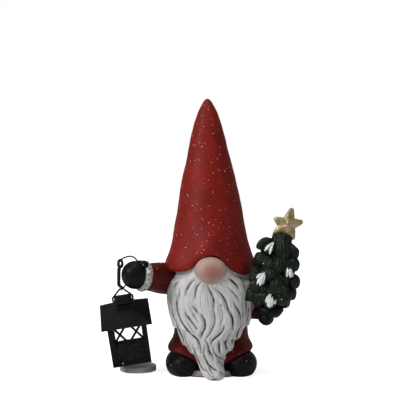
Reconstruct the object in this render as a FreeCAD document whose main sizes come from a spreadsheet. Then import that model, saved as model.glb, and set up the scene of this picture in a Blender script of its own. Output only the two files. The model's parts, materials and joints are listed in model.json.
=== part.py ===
import FreeCAD, Part
import math
import os
from FreeCAD import Placement, Rotation, Vector

# Garden gnome holding a small hanging lantern and a little fir tree, with a loose round disc.
# Origin: centre of the base plate's underside. +X to the lantern's opposite side, -Y is the front,
# +Z up. Millimetres.

doc = FreeCAD.newDocument("gnome")
sheet = doc.addObject("Spreadsheet::Sheet", "Dims")

DIMENSIONS = {
    "base_radius": 45.5, "base_thick": 6.0,
    "hem_radius": 44.8, "hem_low": 19.0, "waist_radius": 39.5, "waist_height": 42.0,
    "core_radius": 30.0, "chest_radius": 40.5, "chest_height": 70.0,
    "cone_low": 95.0, "cone_high": 246.0, "cone_low_radius": 43.67, "cone_high_radius": 13.0,
    "neck_low": 100.0, "neck_high": 150.0,
    "hollow_low_radius": 27.0, "hollow_high_radius": 24.0, "hollow_top": 140.0,
    "arch_radius": 27.0, "arch_centre": 96.0, "arch_depth": 50.0,
    "nose_half_width": 16.5, "nose_half_depth": 15.0, "nose_half_height": 14.8,
    "beard_half_width": 54.0, "beard_half_depth": 60.0, "beard_half_height": 95.0,
    "beard_middle": 45.0, "skirt_radius": 43.8,
    "boot_half_width": 18.5, "boot_half_depth": 25.0, "boot_half_height": 20.0,
    "shoulder_radius": 18.0, "wrist_radius": 13.0, "cuff_radius": 16.3, "cuff_thick": 7.0,
    "mitten_radius": 14.3, "thumb_radius": 4.0, "thumb_length": 9.0, "grip_hole": 1.0,
    "rod_radius": 2.5, "rod_length": 64.0,
    "elbow_radius": 11.0, "elbow_length": 27.0,
    "palm_half_width": 14.4, "palm_half_depth": 14.0, "palm_half_height": 11.5,
    "tree_height": 70.0, "tree_foot_radius": 17.0, "tree_tip_radius": 4.0,
    "tier_half_height": 11.5, "tier_squash": 0.72,
    "star_outer": 17.0, "star_inner": 8.2, "star_thick": 7.0,
    "wire_radius": 0.6, "twist_radius": 1.1, "bail_radius": 0.7, "eye_reach": 1.9,
    "coil_radius": 3.0, "neck_hole": 0.78,
    "case_width": 39.8, "case_top": 52.0, "sheet_thick": 1.0, "floor_thick": 1.2,
    "pane_thick": 0.8, "stile_width": 5.4, "rail_height": 4.0, "brace_width": 2.2,
    "roof_side": 51.1, "roof_base": 48.9, "roof_rise": 12.5, "roof_sheet": 0.8,
    "chimney_side": 14.2, "chimney_rise": 2.8, "stem_radius": 3.6, "stem_rise": 2.8,
    "hood_side": 18.0, "hood_top_side": 13.0, "hood_rise": 2.0,
    "ear_height": 65.6, "bail_half_width": 10.2, "apex_height": 79.5, "rivet_radius": 0.9,
    "disc_radius": 19.2, "disc_low": 0.2, "disc_rise": 5.4, "disc_round": 1.2,
}

for row, (alias, value) in enumerate(DIMENSIONS.items(), start=1):
    sheet.set("A%d" % row, alias)
    sheet.set("B%d" % row, str(value))
    sheet.setAlias("B%d" % row, alias)
doc.recompute()

ORIGIN = Placement()
PARTS = []


def size(alias):
    return float(sheet.get(alias))


def primitive(kind, label, sizes, placement=ORIGIN):
    item = doc.addObject("Part::" + kind, label)
    item.Label = label
    item.Placement = placement
    for name, formula in sizes.items():
        item.setExpression(name, formula)
    return item


def at(x, y, z, rotation=Rotation()):
    return Placement(Vector(x, y, z), rotation)


def along(start, direction):
    return Placement(start, Rotation(Vector(0, 0, 1), direction))


def fuse(label, shapes):
    item = doc.addObject("Part::MultiFuse", label)
    item.Label = label
    item.Shapes = shapes
    return item


def cut(label, base, tools, placement=ORIGIN):
    tool = tools[0] if len(tools) == 1 else fuse(label + "_tools", tools)
    item = doc.addObject("Part::Cut", label)
    item.Label = label
    item.Base = base
    item.Tool = tool
    item.Placement = placement
    return item


def common(label, first, second):
    item = doc.addObject("Part::MultiCommon", label)
    item.Label = label
    item.Shapes = [first, second]
    return item


def feature(label, shape, placement=ORIGIN):
    item = doc.addObject("Part::Feature", label)
    item.Label = label
    item.Shape = shape
    item.Placement = placement
    return item


def keep(item):
    PARTS.append(item)
    return item


def flat_sketch(body, plane_role, edges):
    plane = [f for f in body.Origin.OriginFeatures if f.Role == plane_role][0]
    sketch = body.newObject("Sketcher::SketchObject", body.Name + "_sketch")
    sketch.AttachmentSupport = (plane, [""])
    sketch.MapMode = "FlatFace"
    for edge in edges:
        sketch.addGeometry(edge, False)
    return sketch


def smooth(points):
    curve = Part.BSplineCurve()
    curve.interpolate([Vector(x, y, 0) for x, y in points])
    return curve


def line(start, end):
    return Part.LineSegment(Vector(start[0], start[1], 0), Vector(end[0], end[1], 0))


def polyline(points):
    return [line(points[i], points[(i + 1) % len(points)]) for i in range(len(points))]


def rounded_path(corners, radius):
    """Wire through the corners, with each inner corner rounded to the given radius."""
    edges = []
    start = corners[0]
    for before, corner, after in zip(corners, corners[1:], corners[2:]):
        inward = (before - corner).normalize()
        onward = (after - corner).normalize()
        half_angle = inward.getAngle(onward) / 2.0
        reach = radius / math.tan(half_angle)
        first = corner + inward * reach
        last = corner + onward * reach
        bisector = (inward + onward).normalize()
        middle = corner + bisector * (radius / math.sin(half_angle) - radius)
        edges.append(Part.LineSegment(start, first).toShape())
        edges.append(Part.Arc(first, middle, last).toShape())
        start = last
    edges.append(Part.LineSegment(start, corners[-1]).toShape())
    return Part.Wire(edges)


def swept_rod(path, radius):
    start = path.Edges[0].valueAt(path.Edges[0].FirstParameter)
    tangent = path.Edges[0].tangentAt(path.Edges[0].FirstParameter)
    ring = Part.Wire([Part.Circle(start, tangent, radius).toShape()])
    return path.makePipeShell([ring], True, False, 2)


# ---- figure: coat, base, hat ------------------------------------------------------------

def make_coat_blank():
    body = doc.addObject("PartDesign::Body", "coat_blank")
    low = (size("hem_radius") - 0.4, size("hem_low"))
    neck = (39.0 - 0.203 * (size("neck_low") - 118.0), size("neck_low"))
    top = (39.0 - 0.203 * (size("neck_high") - 118.0), size("neck_high"))
    side = smooth([low, (size("hem_radius"), size("hem_low") + 5.0),
                   (size("waist_radius"), size("waist_height")),
                   (size("chest_radius"), size("chest_height")), neck])
    core = size("core_radius")
    edges = [line((0, size("base_thick")), (core, size("base_thick"))),
             line((core, size("base_thick")), (core, size("hem_low"))),
             line((core, size("hem_low")), low), side, line(neck, top),
             line(top, (0, size("neck_high"))),
             line((0, size("neck_high")), (0, size("base_thick")))]
    sketch = flat_sketch(body, "XZ_Plane", edges)
    turn = body.newObject("PartDesign::Revolution", "coat_turn")
    turn.Profile = sketch
    turn.ReferenceAxis = (sketch, ["V_Axis"])
    turn.Angle = 360.0
    body.Tip = turn
    return body


base_plate = keep(primitive("Cylinder", "base_plate",
                            {"Radius": "Dims.base_radius", "Height": "Dims.base_thick"}))
skirt = primitive("Cylinder", "skirt", {"Radius": "Dims.skirt_radius",
                                        "Height": "Dims.hem_low - Dims.base_thick + 1"},
                  at(0, 0, size("base_thick")))
skirt.Angle = 180.0
coat_blank = fuse("coat_solid", [make_coat_blank(), skirt])
hollow = primitive("Cone", "hollow", {"Radius1": "Dims.hollow_low_radius",
                                      "Radius2": "Dims.hollow_high_radius",
                                      "Height": "Dims.hollow_top - Dims.base_thick"},
                   at(0, 0, size("base_thick")))

SHOULDER = Vector(-30.0, -18.0, 95.5)
HAND = Vector(-78.4, -48.0, 103.8)
ARM = (HAND - SHOULDER).normalize()
arm_rod = keep(primitive("Cylinder", "arm_rod",
                         {"Radius": "Dims.rod_radius", "Height": "Dims.rod_length"},
                         along(SHOULDER - ARM * 13.0, ARM)))
body_shell = keep(cut("body_shell", coat_blank, [hollow, arm_rod]))

nose_blank = primitive("Ellipsoid", "nose_blank",
                       {"Radius1": "Dims.nose_half_height", "Radius2": "Dims.nose_half_width",
                        "Radius3": "Dims.nose_half_depth"}, at(-1.1, -47.0, 108.7))
nose = keep(cut("nose", nose_blank, [coat_blank]))


def make_hat_blank():
    outline = ((101.0, 45.8), (106.0, 47.6), (112.0, 48.4), (120.0, 45.9), (128.0, 42.7),
               (154.0, 37.2), (191.0, 31.2), (226.0, 23.1), (261.0, 14.3), (281.0, 7.2),
               (288.5, 1.6))
    rings = []
    for height, radius in outline:
        ring = doc.addObject("Part::Circle", "hat_ring")
        ring.Radius = radius
        ring.Placement = at(-0.6 - 3.4 * (height - 110.0) / 178.5, 0, height)
        rings.append(ring)
    loft = doc.addObject("Part::Loft", "hat_blank")
    loft.Sections = rings
    loft.Solid = True
    return loft


hat_blank = make_hat_blank()
hat_cone = primitive("Cone", "hat_cone", {"Radius1": "Dims.cone_low_radius",
                                          "Radius2": "Dims.cone_high_radius",
                                          "Height": "Dims.cone_high - Dims.cone_low"},
                     at(0, 0, size("cone_low")))
hat_arch = primitive("Cylinder", "hat_arch",
                     {"Radius": "Dims.arch_radius", "Height": "Dims.arch_depth"},
                     at(-1.0, -20.0, size("arch_centre"), Rotation(Vector(1, 0, 0), 90)))
hat_shell = keep(cut("hat_shell", hat_blank, [hat_cone, hat_arch, nose_blank, coat_blank]))


# ---- right arm, with the lantern hand ---------------------------------------------------

cuff_start = SHOULDER + ARM * 43.7
sleeve_blank = primitive("Cone", "sleeve_blank", {"Radius1": "Dims.shoulder_radius",
                                                  "Radius2": "Dims.wrist_radius"},
                         along(SHOULDER, ARM))
sleeve_blank.Height = 43.7
sleeve_right = keep(cut("sleeve_right", sleeve_blank, [coat_blank, hat_shell, arm_rod]))

palm = primitive("Sphere", "palm", {"Radius": "Dims.mitten_radius"}, at(*HAND))
thumb_tip = Vector(-67.5, -51.0, 114.6)
thumb_way = Vector(8.4, -0.5, -2.2)
thumb_bar = primitive("Cylinder", "thumb_bar",
                      {"Radius": "Dims.thumb_radius * 0.8", "Height": "Dims.thumb_length"},
                      along(thumb_tip - thumb_way, thumb_way))
thumb_ball = primitive("Sphere", "thumb_ball", {"Radius": "Dims.thumb_radius"}, at(*thumb_tip))
mitten_blank = fuse("mitten_blank", [palm, thumb_bar, thumb_ball])
GRIP = Vector(-88.5, -48.0, 91.2)
GRIP_WAY = Vector(13.1, 0.0, 27.2).normalize()
grip_hole = primitive("Cylinder", "grip_bore", {"Radius": "Dims.grip_hole"},
                      along(GRIP - GRIP_WAY * 8.0, GRIP_WAY))
grip_hole.Height = 50.0
mitten_right = keep(cut("mitten_right", mitten_blank, [grip_hole, arm_rod]))
cuff_blank = primitive("Cylinder", "cuff_blank",
                       {"Radius": "Dims.cuff_radius", "Height": "Dims.cuff_thick"},
                       along(cuff_start, ARM))
cuff_right = keep(cut("cuff_right", cuff_blank, [mitten_blank, arm_rod]))


# ---- left arm, tree and star ------------------------------------------------------------

ELBOW = Vector(33.0, -12.0, 64.0)
PALM_LEFT = Vector(60.0, -34.0, 63.0)
palm_left = primitive("Ellipsoid", "palm_left", {"Radius1": "Dims.palm_half_height",
                                                 "Radius2": "Dims.palm_half_width",
                                                 "Radius3": "Dims.palm_half_depth"},
                      at(*PALM_LEFT))
mitten_left = keep(cut("mitten_left", palm_left, [coat_blank]))
elbow = primitive("Cylinder", "elbow", {"Radius": "Dims.elbow_radius",
                                        "Height": "Dims.elbow_length"},
                  along(ELBOW, PALM_LEFT - ELBOW))
sleeve_left = keep(cut("sleeve_left", elbow, [coat_blank, palm_left]))

LEAN = Rotation(Vector(0, 1, 0), 11.7)
TREE_FOOT = Vector(59.9, -34.0, 72.0)


def make_star():
    body = doc.addObject("PartDesign::Body", "star")
    corners = []
    for step in range(10):
        reach = size("star_outer") if step % 2 == 0 else size("star_inner")
        angle = math.radians(90.0 - 36.0 * step)
        corners.append((reach * math.cos(angle), reach * math.sin(angle)))
    sketch = flat_sketch(body, "XZ_Plane", polyline(corners))
    pad = body.newObject("PartDesign::Pad", "star_pad")
    pad.Profile = sketch
    pad.setExpression("Length", "Dims.star_thick")
    pad.Midplane = True
    body.Tip = pad
    body.Placement = Placement(Vector(76.0, -34.0, 155.0), LEAN)
    return body


star = keep(make_star())
trunk = primitive("Cone", "trunk", {"Radius1": "Dims.tree_foot_radius",
                                    "Radius2": "Dims.tree_tip_radius",
                                    "Height": "Dims.tree_height"})
TIERS = ((6.0, 24.0), (20.0, 26.5), (37.0, 22.5), (54.0, 16.5))
layers = [trunk]
for height, reach in TIERS:
    layer = primitive("Ellipsoid", "tier", {"Radius1": "Dims.tier_half_height"},
                      at(0, 0, height))
    layer.Radius2 = reach
    layer.setExpression("Radius3", "%.2f * Dims.tier_squash" % reach)
    layers.append(layer)
tree_blank = fuse("tree_blank", layers)
tree_blank.Placement = Placement(TREE_FOOT, LEAN)
tree = keep(cut("tree", tree_blank, [palm_left, elbow, coat_blank, hat_blank, star]))


# ---- beard and boots --------------------------------------------------------------------

def make_beard_blank():
    body = doc.addObject("PartDesign::Body", "beard_blank")
    left = [(-37.0, 107.0), (-45.8, 84.0), (-38.8, 50.8), (-28.4, 30.8), (-18.8, 19.4),
            (-10.1, 3.7), (-3.0, 0.0)]
    right = [(11.0, 0.0), (12.6, 15.9), (21.3, 25.5), (31.8, 45.6), (42.3, 59.6),
             (44.8, 76.0), (38.0, 107.0)]
    edges = [smooth(left), line(left[-1], right[0]), smooth(right), line(right[-1], left[0])]
    sketch = flat_sketch(body, "XZ_Plane", edges)
    pad = body.newObject("PartDesign::Pad", "beard_pad")
    pad.Profile = sketch
    pad.Length = 70.0
    body.Tip = pad
    return body


beard_blank = make_beard_blank()
beard_front = primitive("Ellipsoid", "beard_front", {"Radius1": "Dims.beard_half_height",
                                                     "Radius2": "Dims.beard_half_width",
                                                     "Radius3": "Dims.beard_half_depth"},
                        at(0, 0, size("beard_middle")))
beard_mass = common("beard_mass", beard_blank, beard_front)
beard = keep(cut("beard", beard_mass, [coat_blank, base_plate, hat_shell, nose_blank,
                                       sleeve_blank, tree_blank, palm_left, elbow]))

floor_block = primitive("Box", "floor_block", {}, at(-100, -100, -60))
floor_block.Length = 200
floor_block.Width = 200
floor_block.Height = 60
for side, label in ((-1, "boot_left"), (1, "boot_right")):
    toe = primitive("Ellipsoid", label + "_blank", {"Radius1": "Dims.boot_half_height",
                                                    "Radius2": "Dims.boot_half_width",
                                                    "Radius3": "Dims.boot_half_depth"},
                    at(side * 29.0, -22.0, 4.0))
    keep(cut(label, toe, [floor_block, coat_blank, base_plate, beard_mass]))


# ---- lantern ----------------------------------------------------------------------------

LANTERN = Placement(Vector(-84.0, -14.6, 18.2), Rotation(5.5, -8.2, 23.8))


def in_lantern(x, y, z, rotation=Rotation()):
    return LANTERN.multiply(at(x, y, z, rotation))


half_case = size("case_width") / 2.0
keep(primitive("Box", "lantern_floor", {"Length": "Dims.case_width", "Width": "Dims.case_width",
                                        "Height": "Dims.floor_thick"},
               in_lantern(-half_case, -half_case, 0)))


def make_side(label, width, offset, quarter):
    """Framed sheet with a crossed brace in its window, facing -Y before it is turned."""
    wide = width / 2.0
    low = size("floor_thick")
    outer = primitive("Box", label + "_sheet", {"Width": "Dims.sheet_thick",
                                                "Height": "Dims.case_top - Dims.floor_thick"},
                      at(-wide, -offset, low))
    outer.Length = width
    window = primitive("Box", label + "_window",
                       {"Width": "Dims.sheet_thick",
                        "Height": "Dims.case_top - Dims.floor_thick - 2 * Dims.rail_height"},
                       at(size("stile_width") - half_case, -offset, low + size("rail_height")))
    window.setExpression("Length", "Dims.case_width - 2 * Dims.stile_width")
    opening_x = half_case - size("stile_width")
    opening_z = (size("case_top") - low) / 2.0 - size("rail_height")
    middle = (size("case_top") + low) / 2.0
    tilt = math.degrees(math.atan2(opening_z, opening_x))
    bars = []
    for sign in (-1, 1):
        bar = primitive("Box", label + "_bar", {"Width": "Dims.sheet_thick",
                                                "Height": "Dims.brace_width"})
        bar.Length = 80.0
        turn = Rotation(Vector(0, 1, 0), sign * tilt)
        start = turn.multVec(Vector(-40.0, 0, -size("brace_width") / 2.0))
        bar.Placement = Placement(Vector(0, -offset, middle) + start, turn)
        bars.append(bar)
    brace = common(label + "_brace", fuse(label + "_bars", bars), window)
    frame = cut(label + "_frame", outer, [window])
    side = fuse(label, [frame, brace])
    side.Placement = LANTERN.multiply(at(0, 0, 0, Rotation(Vector(0, 0, 1), quarter)))
    return keep(side)


def make_pane(label, width, offset, quarter):
    pane = primitive("Box", label, {"Width": "Dims.pane_thick",
                                    "Height": "Dims.case_top - Dims.floor_thick"})
    pane.Length = width
    turn = Rotation(Vector(0, 0, 1), quarter)
    start = turn.multVec(Vector(-width / 2.0, -offset, size("floor_thick")))
    pane.Placement = LANTERN.multiply(Placement(start, turn))
    return keep(pane)


thick = size("sheet_thick")
for label, quarter in (("front", 0), ("right", 90), ("back", 180), ("left", 270)):
    full = quarter % 180 == 0
    side_width = size("case_width") - (0 if full else 2 * thick)
    make_side("side_" + label, side_width, half_case, quarter)
    pane_width = side_width - 2 * (thick if full else size("pane_thick"))
    make_pane("pane_" + label, pane_width, half_case - thick, quarter)

UPRIGHT = Rotation(Vector(1, 0, 0), 90)


def make_frustum(label, low_side, high_side, rise, placement):
    block = doc.addObject("Part::Wedge", label)
    block.Label = label
    block.Ymin = 0
    block.Ymax = rise
    for name in ("X", "Z"):
        setattr(block, name + "min", -low_side / 2.0)
        setattr(block, name + "max", low_side / 2.0)
        setattr(block, name + "2min", -high_side / 2.0)
        setattr(block, name + "2max", high_side / 2.0)
    block.Placement = placement
    return block


roof_outer = make_frustum("roof_outer", size("roof_side"), size("chimney_side"),
                          size("roof_rise"), at(0, 0, size("roof_base"), UPRIGHT))
slope = (size("roof_side") - size("chimney_side")) / 2.0 / size("roof_rise")
inset = 2 * slope * size("roof_sheet")
roof_inner = make_frustum("roof_inner", size("roof_side") - inset, size("chimney_side"),
                          size("roof_rise") - size("roof_sheet"),
                          at(0, 0, size("roof_base"), UPRIGHT))
keep(cut("roof", roof_outer, [roof_inner], LANTERN))

roof_top = size("roof_base") + size("roof_rise")
half_flue = size("chimney_side") / 2.0
flue = primitive("Box", "flue", {"Length": "Dims.chimney_side", "Width": "Dims.chimney_side",
                                 "Height": "Dims.chimney_rise"},
                 at(-half_flue, -half_flue, roof_top))
stem = primitive("Cylinder", "stem", {"Radius": "Dims.stem_radius", "Height": "Dims.stem_rise"},
                 at(0, 0, roof_top + size("chimney_rise")))
ear_hole = primitive("Cylinder", "ear_hole", {"Radius": "Dims.neck_hole"},
                     at(-10, 0, size("ear_height"), Rotation(Vector(0, 1, 0), 90)))
ear_hole.Height = 20
keep(cut("chimney", fuse("flue_stem", [flue, stem]), [ear_hole], LANTERN))
hood_base = roof_top + size("chimney_rise") + size("stem_rise")
hood = make_frustum("hood", size("hood_side"), size("hood_top_side"), size("hood_rise"),
                    in_lantern(0, 0, hood_base, UPRIGHT))
keep(hood)
keep(primitive("Cylinder", "rivet", {"Radius": "Dims.rivet_radius", "Height": "0.5"},
               in_lantern(-9.4, -half_case, 3.9, UPRIGHT)))


def make_bail():
    ear = size("ear_height")
    wide = size("bail_half_width")
    apex = size("apex_height")
    half = [Vector(-0.6, 0, ear), Vector(-wide, 0, ear), Vector(-wide, 0, ear + 4.6),
            Vector(-1.8, 0, apex)]
    mirrored = [Vector(-p.x, 0, p.z) for p in reversed(half)]
    path = rounded_path(half + mirrored, 1.4)
    return feature("bail", swept_rod(path, size("bail_radius")), LANTERN)


keep(make_bail())


def make_hanger():
    """Wire ring through the fist, with a coil, a twisted strand and an eye for the bail."""
    reach = size("eye_reach")
    eye_base = size("apex_height") - size("bail_radius") - size("wire_radius") - 0.3
    eye_crown = eye_base + 2 * reach
    corners = [(0, eye_crown), (-reach, eye_crown), (-reach, eye_base), (reach, eye_base),
               (reach, eye_crown), (0, eye_crown)]
    eye_path = rounded_path([LANTERN.multVec(Vector(0, y, z)) for y, z in corners], 1.0)
    eye = swept_rod(eye_path, size("wire_radius"))
    eye_top = LANTERN.multVec(Vector(0, 0, eye_crown))
    strand_foot = eye_top + Vector(-2.5, 0.2, 1.4)
    strand_top = Vector(-94.6, -48.0, 113.0)
    strand = swept_rod(rounded_path([eye_top, strand_foot, strand_top], 0.8),
                       size("twist_radius"))
    coil_centre = Vector(-92.4, -48.0, 118.6)
    coil = Part.makeTorus(size("coil_radius"), size("twist_radius"), coil_centre, Vector(0, 1, 0))
    grip_top = GRIP + GRIP_WAY * 34.0
    loop = rounded_path([coil_centre + Vector(0, 0, size("coil_radius")),
                         Vector(-84.0, -48.0, 125.4), grip_top, GRIP + GRIP_WAY * 0.9,
                         eye_top + Vector(0.2, 0, 0)], 0.8)
    ring = swept_rod(loop, size("wire_radius"))
    return feature("hanger", eye.fuse([strand, coil, ring]).removeSplitter())


keep(make_hanger())


# ---- loose disc under the lantern -------------------------------------------------------

disc_blank = primitive("Cylinder", "disc_blank", {"Radius": "Dims.disc_radius",
                                                  "Height": "Dims.disc_rise"},
                       at(-77.5, -8.0, size("disc_low")))
doc.recompute()
top_edges = [(number, size("disc_round"), size("disc_round"))
             for number, edge in enumerate(disc_blank.Shape.Edges, start=1)
             if edge.BoundBox.ZMin > size("disc_rise") * 0.9]
foot_disc = doc.addObject("Part::Fillet", "foot_disc")
foot_disc.Label = "foot_disc"
foot_disc.Base = disc_blank
foot_disc.Edges = top_edges
keep(foot_disc)


# ---- check and write --------------------------------------------------------------------

doc.recompute()
for item in doc.Objects:
    if "Invalid" in item.State or "Error" in item.State:
        raise RuntimeError("feature failed: " + item.Label)
os.makedirs("parts", exist_ok=True)
for item in PARTS:
    if item.Shape.isNull() or not item.Shape.isValid():
        raise RuntimeError("bad shape: " + item.Label)
    item.Shape.exportStep("parts/" + item.Label + ".step")
    print(item.Label, len(item.Shape.Solids), round(item.Shape.Volume, 1))
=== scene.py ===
import json
import math
import bpy
import numpy as np
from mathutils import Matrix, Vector, noise


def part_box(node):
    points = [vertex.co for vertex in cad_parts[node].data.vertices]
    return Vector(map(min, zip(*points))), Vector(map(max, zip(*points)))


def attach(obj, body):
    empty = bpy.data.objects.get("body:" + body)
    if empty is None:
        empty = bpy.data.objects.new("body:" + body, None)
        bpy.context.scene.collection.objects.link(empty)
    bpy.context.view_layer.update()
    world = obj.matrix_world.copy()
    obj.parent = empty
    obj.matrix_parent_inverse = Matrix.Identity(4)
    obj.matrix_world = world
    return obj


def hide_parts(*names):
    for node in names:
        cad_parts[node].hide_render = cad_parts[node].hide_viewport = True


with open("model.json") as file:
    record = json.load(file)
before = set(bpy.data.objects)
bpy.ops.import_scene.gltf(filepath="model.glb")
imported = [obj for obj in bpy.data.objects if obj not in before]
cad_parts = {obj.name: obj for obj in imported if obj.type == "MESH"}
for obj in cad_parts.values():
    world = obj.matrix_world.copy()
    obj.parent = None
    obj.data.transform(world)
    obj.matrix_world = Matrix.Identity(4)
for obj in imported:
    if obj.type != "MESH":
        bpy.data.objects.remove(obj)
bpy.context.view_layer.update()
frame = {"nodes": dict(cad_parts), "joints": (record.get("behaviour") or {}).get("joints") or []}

MM = 0.001
NODES = frame["nodes"]
rng = np.random.default_rng(7)


def cad(node):
    """Lowest corner, highest corner and centre of a CAD node, in millimetres."""
    low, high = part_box(node)
    return low / MM, high / MM, (low + high) / (2 * MM)


# ---- materials --------------------------------------------------------------------------

class Paint:
    """A painted surface built from nodes: colour variation, specks, fine bump."""

    def __init__(self, name, rough=0.5, metallic=0.0, level=0.5):
        self.mat = bpy.data.materials.new(name)
        self.mat.use_nodes = True
        self.tree = self.mat.node_tree
        self.shader = next(n for n in self.tree.nodes if n.type == "BSDF_PRINCIPLED")
        self.shader.inputs["Roughness"].default_value = rough
        self.shader.inputs["Metallic"].default_value = metallic
        self.shader.inputs["Specular IOR Level"].default_value = level
        self.place = self.node("ShaderNodeTexCoord").outputs["Object"]

    def node(self, kind):
        return self.tree.nodes.new(kind)

    def link(self, source, target):
        self.tree.links.new(source, target)

    def noise(self, size, detail=3.0, rough=0.55, stretch=None):
        tex = self.node("ShaderNodeTexNoise")
        tex.inputs["Scale"].default_value = 1.0 / size
        tex.inputs["Detail"].default_value = detail
        tex.inputs["Roughness"].default_value = rough
        self.link(self.stretched(stretch), tex.inputs["Vector"])
        return tex.outputs["Fac"]

    def stretched(self, stretch):
        if stretch is None:
            return self.place
        mapping = self.node("ShaderNodeMapping")
        mapping.inputs["Scale"].default_value = stretch
        self.link(self.place, mapping.inputs["Vector"])
        return mapping.outputs["Vector"]

    def math(self, operation, a, b=0.0, clamp=False):
        calc = self.node("ShaderNodeMath")
        calc.operation = operation
        calc.use_clamp = clamp
        for value, socket in zip((a, b), calc.inputs):
            if isinstance(value, (int, float)):
                socket.default_value = value
            else:
                self.link(value, socket)
        return calc.outputs["Value"]

    def spread(self, value, low, high):
        """Maps low..high of a value to 0..1, smoothly."""
        ramp = self.node("ShaderNodeMapRange")
        ramp.interpolation_type = "SMOOTHSTEP"
        ramp.inputs["From Min"].default_value = low
        ramp.inputs["From Max"].default_value = high
        self.link(value, ramp.inputs["Value"])
        return ramp.outputs["Result"]

    def mix(self, factor, first, second):
        blend = self.node("ShaderNodeMix")
        blend.data_type = "RGBA"
        for value, socket in ((factor, blend.inputs[0]), (first, blend.inputs[6]),
                              (second, blend.inputs[7])):
            if isinstance(value, (tuple, list)):
                socket.default_value = (*value[:3], 1.0)
            elif isinstance(value, (int, float)):
                socket.default_value = value
            else:
                self.link(value, socket)
        return blend.outputs[2]

    def mottle(self, size, low, high, first, second, detail=4):
        """Two colours in soft patches of one size."""
        return self.mix(self.spread(self.noise(size, detail), low, high), first, second)

    def specks(self, cell, radius, share):
        """Small round dots, one per cell at most; share is the part of the cells without one."""
        dots = self.node("ShaderNodeTexVoronoi")
        dots.inputs["Scale"].default_value = 1.0 / cell
        self.link(self.place, dots.inputs["Vector"])
        split = self.node("ShaderNodeSeparateColor")
        self.link(dots.outputs["Color"], split.inputs["Color"])
        chosen = self.math("GREATER_THAN", split.outputs[0], share)
        reach = self.math("MULTIPLY", split.outputs[1], radius)
        near = self.math("LESS_THAN", dots.outputs["Distance"], reach)
        return self.math("MULTIPLY", chosen, near)

    def attribute(self, name):
        read = self.node("ShaderNodeAttribute")
        read.attribute_name = name
        return read.outputs["Fac"]

    def colour(self, socket):
        self.link(socket, self.shader.inputs["Base Color"])
        return self

    def roughness(self, socket):
        self.link(socket, self.shader.inputs["Roughness"])
        return self

    def uneven(self, size, detail, amount, base):
        """Roughness that varies softly above a base value."""
        wave = self.math("MULTIPLY", self.noise(size, detail), amount)
        return self.roughness(self.math("ADD", wave, base))

    def bump(self, height, strength, depth=0.0004):
        bump = self.node("ShaderNodeBump")
        bump.inputs["Strength"].default_value = strength
        bump.inputs["Distance"].default_value = depth
        self.link(height, bump.inputs["Height"])
        self.link(bump.outputs["Normal"], self.shader.inputs["Normal"])
        return self


def tone(colour, factor):
    return tuple(min(1.0, c * factor) for c in colour)


def glitter_red(name, base, speck_share):
    paint = Paint(name, rough=0.5, level=0.15)
    mottled = paint.mottle(0.022, 0.35, 0.65, tone(base, 0.84), tone(base, 1.14))
    worn = paint.mottle(0.005, 0.66, 0.76, mottled, tone(base, 0.45), 5)
    haze = paint.specks(0.0013, 0.40, 0.55)
    hazed = paint.mix(paint.math("MULTIPLY", haze, 0.075), worn, (0.62, 0.24, 0.20))
    dots = paint.specks(0.0024, 0.19, speck_share)
    paint.colour(paint.mix(paint.math("MULTIPLY", dots, 0.95), hazed, (1.0, 0.78, 0.72)))
    paint.uneven(0.004, 3, 0.25, 0.42)
    return paint.bump(paint.noise(0.0016, 4), 0.2).mat


def black_paint(name):
    base = (0.0026, 0.0028, 0.0027)
    paint = Paint(name, rough=0.42, level=0.12)
    mottled = paint.mottle(0.010, 0.35, 0.7, base, tone(base, 1.8))
    dots = paint.specks(0.0045, 0.14, 0.62)
    paint.colour(paint.mix(paint.math("MULTIPLY", dots, 0.7), mottled, (0.7, 0.7, 0.7)))
    paint.uneven(0.003, 3, 0.2, 0.32)
    return paint.bump(paint.noise(0.0012, 4), 0.3).mat


def pale_with_painted_shade(name, base, dark, attribute, rough=0.6):
    """Pale paint with a dark painted shade that lies in the grooves marked by an attribute."""
    paint = Paint(name, rough=rough, level=0.2)
    streaks = paint.noise(0.0035, 5, 0.6, stretch=(1.0, 1.0, 0.22))
    mottled = paint.mix(paint.spread(streaks, 0.35, 0.68), base, tone(base, 0.84))
    painted_shade = paint.math("MULTIPLY", paint.attribute(attribute),
                      paint.math("ADD", paint.spread(paint.noise(0.004, 4), 0.3, 0.6), 0.55))
    paint.colour(paint.mix(paint.math("MINIMUM", painted_shade, 1.0), mottled, dark))
    return paint.bump(streaks, 0.35, 0.0005).mat


def nose_paint(name, centre):
    paint = Paint(name, rough=0.5, level=0.25)
    away = paint.node("ShaderNodeVectorMath")
    away.operation = "DISTANCE"
    away.inputs[1].default_value = centre
    paint.link(paint.place, away.inputs[0])
    base = paint.mottle(0.008, 0.3, 0.7, (0.400, 0.285, 0.225), (0.45, 0.325, 0.258))
    blush = paint.math("SUBTRACT", 1.0, paint.spread(away.outputs["Value"], 0.0015, 0.0150))
    paint.colour(paint.mix(paint.math("MULTIPLY", blush, 0.80), base, (0.34, 0.105, 0.090)))
    return paint.bump(paint.noise(0.0015, 3), 0.15).mat


def fur_paint(name):
    paint = Paint(name, rough=0.7)
    pit_shades = paint.attribute("pit_shade")
    mottled = paint.mottle(0.002, 0.35, 0.65, (0.42, 0.41, 0.395), (0.62, 0.61, 0.59))
    # painted shade: the pits between tufts take a near-black colour
    paint.colour(paint.mix(pit_shades, mottled, (0.022, 0.022, 0.024)))
    return paint.bump(paint.noise(0.0011, 4), 0.5).mat


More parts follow.
